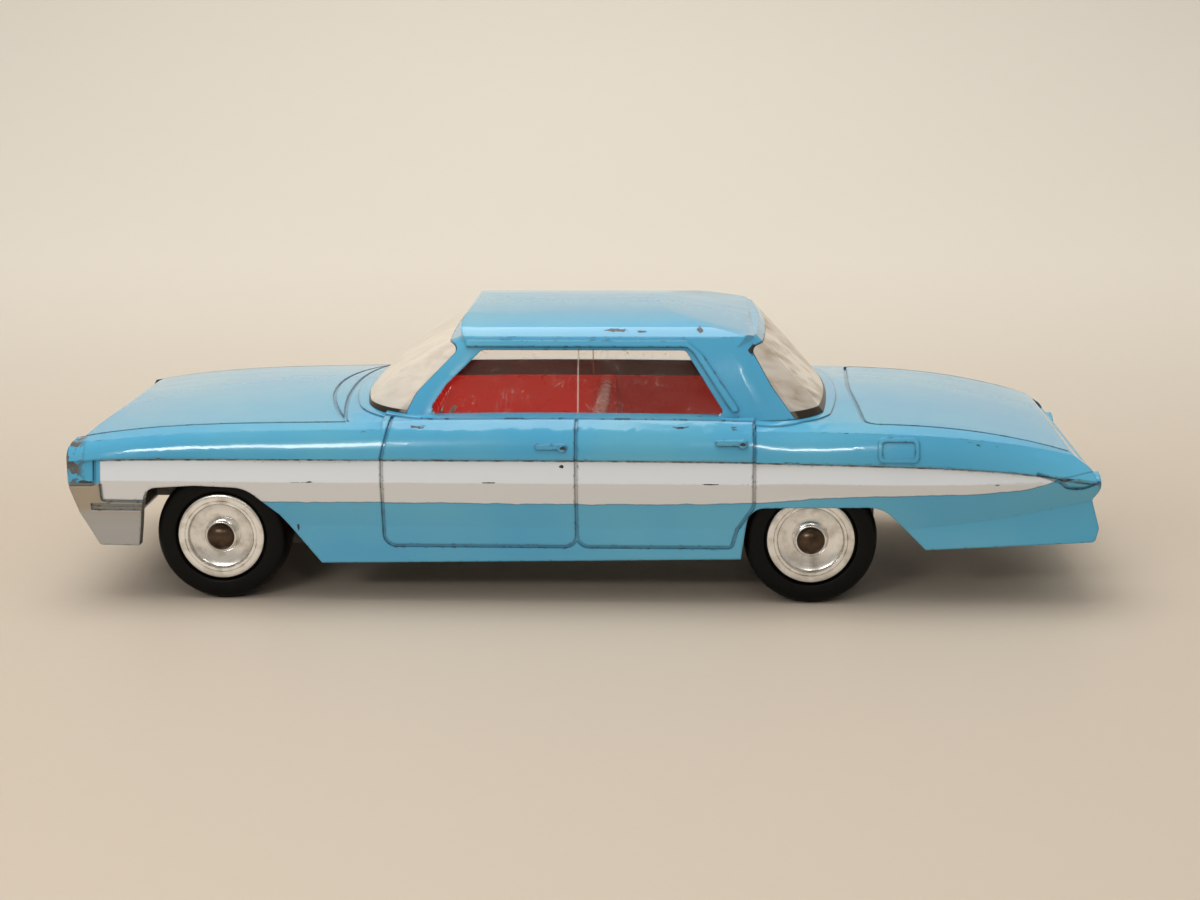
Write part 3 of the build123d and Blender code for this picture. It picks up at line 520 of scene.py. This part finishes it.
def makeRedStyrene():
    v = seats
    material, tree, place = newMaterial("redStyrene")
    # painted shade: darker red in the corners
    hollow = add(tree, "AmbientOcclusion", {"Distance": 2.5 * mm}, samples=6, only_local=True)
    hollowShade = add(tree, "MapRange", {"Value": hollow.outputs["AO"], "From Min": 0.75, "From Max": 0.3})
    colour = add(tree, "Mix", {0: hollowShade, 6: linear(v["red"]), 7: linear(v["redShade"])}, data_type="RGBA")
    pleats = add(tree, "TexWave", {"Vector": place, "Scale": 2 * math.pi / v["pleatMm"] / 20},
                 bands_direction="Y", wave_profile="SIN")
    flow = add(tree, "TexNoise", {"Vector": place, "Scale": 0.5, "Detail": 3.0})
    height = add(tree, "Math", {0: pleats.outputs["Fac"], 1: flow}, operation="ADD")
    bump = add(tree, "Bump", {"Height": height, "Distance": 0.12 * mm, "Strength": 0.5})
    rough = add(tree, "MapRange", {"Value": flow, "To Min": v["roughness"] - 0.06, "To Max": v["roughness"] + 0.12})
    x = add(tree, "SeparateXYZ", {0: place}).outputs["X"]
    # painted light: a faint glow, turning to a painted shade of darker red behind
    behind = add(tree, "MapRange", {"Value": x, "From Min": -3.0, "From Max": 3.0, "To Max": 0.8})
    glow = add(tree, "Mix", {0: behind, 6: linear(v["red"]), 7: linear(v["redShade"])}, data_type="RGBA")
    finish(tree, add(tree, "BsdfPrincipled", {"Base Color": colour, "Roughness": rough, "Normal": bump,
                                              "IOR": 1.59, "Emission Color": glow,
                                              "Emission Strength": v["glow"]}))
    return material


dress("interior_tray", makeRedStyrene())


# Off-white styrene of the steering wheel: the same moulding gloss, yellowed a little.
steering = {"ivory": "#DDD8CA", "ivoryAged": "#C9BFA6"}


def makeIvoryStyrene():
    v = steering
    material, tree, place = newMaterial("ivoryStyrene")
    aged = add(tree, "TexNoise", {"Vector": place, "Scale": 0.9, "Detail": 3.0})
    colour = add(tree, "Mix", {0: aged, 6: linear(v["ivory"]), 7: linear(v["ivoryAged"])}, data_type="RGBA")
    finish(tree, add(tree, "BsdfPrincipled", {"Base Color": colour, "Roughness": 0.28, "IOR": 1.59}))
    return material


dress("steering_wheel", makeIvoryStyrene())
print("Seats done")


# Bare zinc casting: grey and dull, with the fine pitted skin that the mould leaves, darker where fingers miss.
zinc = {"grey": "#8D8C89", "greyDark": "#5B5955", "pitMm": 0.35}


def makeCastZinc():
    v = zinc
    material, tree, place = newMaterial("castZinc")
    clouds = add(tree, "TexNoise", {"Vector": place, "Scale": 0.25, "Detail": 5.0})
    clouds = add(tree, "MapRange", {"Value": clouds, "From Min": 0.35, "From Max": 0.65})
    colour = add(tree, "Mix", {0: clouds, 6: linear(v["grey"]), 7: linear(v["greyDark"])}, data_type="RGBA")
    pits = add(tree, "TexNoise", {"Vector": place, "Scale": 1 / v["pitMm"], "Detail": 3.0})
    rounded = add(tree, "Bevel", {"Radius": 0.2 * mm}, samples=4)
    bump = add(tree, "Bump", {"Height": pits, "Distance": 0.03 * mm, "Strength": 0.6, "Normal": rounded})
    rough = add(tree, "MapRange", {"Value": pits, "To Min": 0.38, "To Max": 0.62})
    finish(tree, add(tree, "BsdfPrincipled", {"Base Color": colour, "Metallic": 0.85, "Roughness": rough,
                                              "Normal": bump}))
    return material


castZinc = makeCastZinc()
for name in ("base_plate", "front_rivet", "rear_rivet"):
    dress(name, castZinc)
print("Base done")


# The wheels, turned from their outlines. Columns: radius and depth behind the wheel's face, in mm.
wheels = {
    "segments": 96,
    "sharpFromDegrees": 38,
    "hub": [(0.85, 0.0), (1.52, -0.05), (1.64, 0.02), (1.7, 0.14), (1.78, 0.66), (1.9, 0.75), (2.6, 0.64),
            (3.25, 0.5), (3.4, 0.42), (3.47, 0.1), (3.56, -0.03), (3.8, -0.05), (3.86, 0.05), (3.92, -0.05),
            (4.3, -0.05), (4.48, -0.02), (4.62, 0.08), (4.69, 0.25), (4.7, 0.6), (4.0, 0.6), (4.0, 4.9),
            (0.85, 4.9)],
    "tyre": [(4.0, 0.6), (4.76, 0.6), (4.84, 0.25), (4.95, 0.02), (5.1, -0.05), (5.7, -0.02), (6.25, 0.05),
             (6.55, 0.16), (6.79, 0.4), (6.93, 0.75), (7.0, 1.3), (7.0, 4.1), (6.9, 4.55), (6.5, 4.82),
             (5.6, 4.93), (4.0, 5.15)],
    "axle": [(0.0, -0.78), (0.45, -0.74), (0.85, -0.62), (1.2, -0.4), (1.42, -0.16), (1.5, 0.0), (1.44, 0.12),
             (0.8, 0.14), (0.8, 35.06), (1.44, 35.08), (1.5, 35.2), (1.42, 35.36), (1.2, 35.6), (0.85, 35.82),
             (0.45, 35.94), (0.0, 35.98)],
}


def makeTurningTree():
    # sweeps an outline of radius and depth round the wheel's axle
    tree = bpy.data.node_groups.new("turning", "GeometryNodeTree")
    tree.interface.new_socket("Geometry", in_out="INPUT", socket_type="NodeSocketGeometry")
    inputs = {
        "Segments": tree.interface.new_socket("Segments", in_out="INPUT", socket_type="NodeSocketInt"),
        "Face": tree.interface.new_socket("Face", in_out="INPUT", socket_type="NodeSocketVector"),
        "Turn": tree.interface.new_socket("Turn", in_out="INPUT", socket_type="NodeSocketFloat"),
        "Material": tree.interface.new_socket("Material", in_out="INPUT", socket_type="NodeSocketMaterial"),
    }
    tree.interface.new_socket("Geometry", in_out="OUTPUT", socket_type="NodeSocketGeometry")
    given = add(tree, "NodeGroupInput")
    outline = add(tree, "GeometryNodeMeshToCurve", {0: given.outputs["Geometry"]})
    inwards = add(tree, "GeometryNodeSetPosition", {"Geometry": outline, "Offset": (-mm, 0, 0)})
    circle = add(tree, "GeometryNodeCurvePrimitiveCircle", {"Resolution": given.outputs["Segments"], "Radius": mm})
    swept = add(tree, "GeometryNodeCurveToMesh", {0: circle.outputs["Curve"], 1: inwards.outputs["Geometry"]})
    merged = add(tree, "GeometryNodeMergeByDistance", {"Geometry": swept, "Distance": 0.00001 * mm})
    tilt = add(tree, "CombineXYZ", {0: given.outputs["Turn"]})
    placed = add(tree, "GeometryNodeTransform", {"Geometry": merged, "Translation": given.outputs["Face"],
                                                 "Rotation": tilt})
    real = add(tree, "GeometryNodeRealizeInstances", {0: placed})
    painted = add(tree, "GeometryNodeSetMaterial", {"Geometry": real, "Material": given.outputs["Material"]})
    add(tree, "NodeGroupOutput", {0: painted})
    return tree, {key: socket.identifier for key, socket in inputs.items()}


turningTree, turningInputs = makeTurningTree()


def turned(name, outline, axleX, side, material, closed=True):
    rows = [(r * mm, depth * mm, 0) for r, depth in outline]
    count = len(rows)
    edges = [(i, (i + 1) % count) for i in range(count if closed else count - 1)]
    mesh = bpy.data.meshes.new(name + "Outline")
    mesh.from_pydata(rows, edges, [])
    draft = bpy.data.objects.new(name + "Outline", mesh)
    bpy.context.collection.objects.link(draft)
    modifier = draft.modifiers.new("turning", "NODES")
    modifier.node_group = turningTree
    modifier[turningInputs["Segments"]] = wheels["segments"]
    modifier[turningInputs["Face"]] = (axleX * mm, side * wheelFace * mm, axleHeight * mm)
    modifier[turningInputs["Turn"]] = -side * math.pi / 2
    modifier[turningInputs["Material"]] = material
    shape = bpy.data.meshes.new_from_object(draft.evaluated_get(bpy.context.evaluated_depsgraph_get()))
    bpy.data.objects.remove(draft)
    shape.shade_smooth()
    shape.set_sharp_from_angle(angle=math.radians(wheels["sharpFromDegrees"]))
    piece = bpy.data.objects.new(name, shape)
    bpy.context.collection.objects.link(piece)
    return piece


# Metal from the lathe or the heading press, with rings of tool marks round the axle: bright hubs, dulled axles.
metals = {
    "turnedAluminium": {"light": "#F1F1F0", "dark": "#C4C0B9", "roughness": 0.12, "pitchMm": 0.12, "strength": 0.3},
    "dulledSteel": {"light": "#5A4C40", "dark": "#33281F", "roughness": 0.24, "pitchMm": 0.3, "strength": 0.5},
}


def makeTurnedMetal(name, light, dark, roughness, pitchMm, strength):
    material, tree, place = newMaterial(name)
    x, y, z = add(tree, "SeparateXYZ", {0: place}).outputs
    middle = (wheelX["front"] + wheelX["rear"]) / 2
    along = add(tree, "Math", {0: x, 1: middle}, operation="SUBTRACT")
    along = add(tree, "Math", {0: along}, operation="ABSOLUTE")
    along = add(tree, "Math", {0: along, 1: wheelX["rear"] - middle}, operation="SUBTRACT")
    up = add(tree, "Math", {0: z, 1: axleHeight}, operation="SUBTRACT")
    radius = add(tree, "VectorMath", {0: add(tree, "CombineXYZ", {0: along, 1: up})}, operation="LENGTH")
    ringPlace = add(tree, "CombineXYZ", {0: radius.outputs["Value"], 1: y})
    rings = add(tree, "TexNoise", {"Vector": ringPlace, "Scale": 1 / pitchMm, "Detail": 4.0, "Roughness": 0.7})
    stains = add(tree, "TexNoise", {"Vector": place, "Scale": 0.8, "Detail": 4.0})
    stains = add(tree, "MapRange", {"Value": stains, "From Min": 0.45, "From Max": 0.75})
    colour = add(tree, "Mix", {0: stains, 6: linear(light), 7: linear(dark)}, data_type="RGBA")
    bump = add(tree, "Bump", {"Height": rings, "Distance": 0.02 * mm, "Strength": strength})
    rough = add(tree, "MapRange", {"Value": rings, "From Min": 0.3, "From Max": 0.7,
                                   "To Min": roughness, "To Max": roughness + 0.16})
    finish(tree, add(tree, "BsdfPrincipled", {"Base Color": colour, "Metallic": 1.0, "Roughness": rough,
                                              "Normal": bump, "Anisotropic": 0.4}))
    return material


# Smooth moulded rubber: dull black, and a little grey from dust in patches.
rubber = {"black": "#040404", "dust": "#151310"}


def makeSmoothRubber():
    material, tree, place = newMaterial("smoothRubber")
    dust = add(tree, "TexNoise", {"Vector": place, "Scale": 0.7, "Detail": 6.0, "Roughness": 0.65})
    dust = add(tree, "MapRange", {"Value": dust, "From Min": 0.5, "From Max": 0.8, "To Max": 0.4})
    colour = add(tree, "Mix", {0: dust, 6: linear(rubber["black"]), 7: linear(rubber["dust"])}, data_type="RGBA")
    grain = add(tree, "TexNoise", {"Vector": place, "Scale": 4.0, "Detail": 3.0})
    bump = add(tree, "Bump", {"Height": grain, "Distance": 0.02 * mm, "Strength": 0.4})
    rough = add(tree, "MapRange", {"Value": dust, "To Min": 0.42, "To Max": 0.7})
    finish(tree, add(tree, "BsdfPrincipled", {"Base Color": colour, "Roughness": rough, "Normal": bump,
                                              "IOR": 1.45, "Specular IOR Level": 0.2}))
    return material


turnedAluminium, dulledSteel = (makeTurnedMetal(name, **row) for name, row in metals.items())
smoothRubber = makeSmoothRubber()
for end, axleX in wheelX.items():
    axle = turned(f"{end}Axle", wheels["axle"], axleX, -1, dulledSteel, closed=False)
    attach(axle, "body")
    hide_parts(f"{end}_axle")
    for hand, side in (("left", -1), ("right", 1)):
        body = f"wheel_{end}_{hand}"
        hub = turned(f"{end}{hand.title()}Hub", wheels["hub"], axleX, side, turnedAluminium)
        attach(hub, body)
        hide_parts(f"hub_{end}_{hand}")
        tyre = turned(f"{end}{hand.title()}Tyre", wheels["tyre"], axleX, side, smoothRubber)
        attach(tyre, body)
        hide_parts(f"tyre_{end}_{hand}")
    dress(f"{end}_spring", dulledSteel)
print("Wheels done")


# The set: one pale card that sweeps up behind the toy, soft lights and the camera.
studio = {
    "floor": "#CABDAD", "wall": "#E6DFD3", "wallFrom": (20.0, 200.0),
    "floorFront": -1.6, "bendStart": 0.16, "bendRadius": 0.12, "bendSteps": 24, "wallTop": 0.9, "halfWidth": 1.6,
    "room": "#ADA498", "worldColour": "#FCFBF9", "worldHorizon": 0.07, "worldTop": 0.8, "worldRise": (0.2, 0.75),
}


def makeSweep():
    v = studio
    rows = [(v["floorFront"], 0.0), (v["bendStart"], 0.0)]
    for i in range(1, v["bendSteps"] + 1):
        a = math.pi / 2 * i / v["bendSteps"]
        rows.append((v["bendStart"] + v["bendRadius"] * math.sin(a), v["bendRadius"] * (1 - math.cos(a))))
    rows.append((rows[-1][0], v["wallTop"]))
    points = [(side * v["halfWidth"], yy, zz) for yy, zz in rows for side in (-1, 1)]
    faces = [(2 * i, 2 * i + 1, 2 * i + 3, 2 * i + 2) for i in range(len(rows) - 1)]
    mesh = bpy.data.meshes.new("sweep")
    mesh.from_pydata(points, [], faces)
    mesh.shade_smooth()
    sweep = bpy.data.objects.new("sweep", mesh)
    bpy.context.collection.objects.link(sweep)
    material, tree, place = newMaterial("paleCard")
    fibres = add(tree, "TexNoise", {"Vector": place, "Scale": 0.8, "Detail": 5.0})
    rough = add(tree, "MapRange", {"Value": fibres, "To Min": 0.45, "To Max": 0.6})
    back = add(tree, "MapRange", {"Value": add(tree, "SeparateXYZ", {0: place}).outputs["Y"],
                                  "From Min": v["wallFrom"][0], "From Max": v["wallFrom"][1]})
    colour = add(tree, "Mix", {0: back, 6: linear(v["floor"]), 7: linear(v["wall"])}, data_type="RGBA")
    finish(tree, add(tree, "BsdfPrincipled", {"Base Color": colour, "Roughness": rough}))
    mesh.materials.append(material)


# soft lights: place, aim, width and height in metres, watts, colour
lights = {
    "overhead": ((-0.06, 0.04, 0.42), (0, 0, 0), (0.40, 0.28), 1.05, "#FFFCF7"),
    "windowStrip": ((-0.115, -0.262, 0.150), (-0.03, -0.02, 0.017), (0.10, 0.036), 0.15, "#FFFDF8"),
    "smallStrip": ((0.045, -0.262, 0.150), (0.02, -0.02, 0.017), (0.022, 0.020), 0.025, "#FFFDF8"),
}


def softLight(name, place, aim, size, watts, hexColour):
    lamp = bpy.data.lights.new(name, "AREA")
    lamp.shape = "RECTANGLE"
    lamp.size, lamp.size_y = size
    lamp.energy = watts
    lamp.color = linear(hexColour)[:3]
    obj = bpy.data.objects.new(name, lamp)
    obj.location = place
    obj.rotation_euler = (Vector(aim) - Vector(place)).to_track_quat("-Z", "Y").to_euler()
    bpy.context.collection.objects.link(obj)


makeSweep()
for name, row in lights.items():
    softLight(name, *row)

# the room's light comes from above; the camera, glossy and clear surfaces see an even warm grey past the card
world = bpy.data.worlds.new("softRoom")
world.use_nodes = True
bpy.context.scene.world = world
sky = world.node_tree
sky.nodes.clear()
height = add(sky, "SeparateXYZ", {0: add(sky, "TexCoord").outputs["Generated"]}).outputs["Z"]
strength = add(sky, "MapRange", {"Value": height, "From Min": studio["worldRise"][0],
                                 "From Max": studio["worldRise"][1],
                                 "To Min": studio["worldHorizon"], "To Max": studio["worldTop"]})
glow = add(sky, "Background", {"Color": linear(studio["worldColour"]), "Strength": strength})
room = add(sky, "Background", {"Color": linear(studio["room"]), "Strength": 1.0})
ray = add(sky, "LightPath").outputs
seen = add(sky, "Math", {0: ray["Is Camera Ray"], 1: ray["Is Glossy Ray"]}, operation="MAXIMUM")
seen = add(sky, "Math", {0: seen, 1: ray["Is Transmission Ray"]}, operation="MAXIMUM")
add(sky, "OutputWorld", {"Surface": add(sky, "MixShader", {0: seen, 1: glow, 2: room})})

# the camera as the photograph was taken: place in mm, turns in degrees
view = {"place": (13.16, -221.55, 64.01), "turn": 3.035, "down": 13.06, "roll": -0.397,
        "focalPixels": 2010.9, "imageWidth": 1200}


def makeCamera():
    v = view
    data = bpy.data.cameras.new("camera")
    data.sensor_width = 36.0
    data.lens = v["focalPixels"] / v["imageWidth"] * data.sensor_width
    data.clip_start, data.clip_end = 0.01, 10
    camera = bpy.data.objects.new("camera", data)
    bpy.context.collection.objects.link(camera)
    turn, down, roll = (math.radians(v[key]) for key in ("turn", "down", "roll"))
    ahead = Vector((-math.sin(turn) * math.cos(down), math.cos(turn) * math.cos(down), -math.sin(down)))
    right = Vector((math.cos(turn), math.sin(turn), 0))
    up = right.cross(ahead)
    right, up = right * math.cos(roll) + up * math.sin(roll), up * math.cos(roll) - right * math.sin(roll)
    rows = [(right[i], up[i], -ahead[i], v["place"][i] * mm) for i in range(3)]
    camera.matrix_world = Matrix(rows + [(0, 0, 0, 1)])
    bpy.context.scene.camera = camera


makeCamera()
bpy.context.scene.view_settings.view_transform = "Standard"
print("Set done")
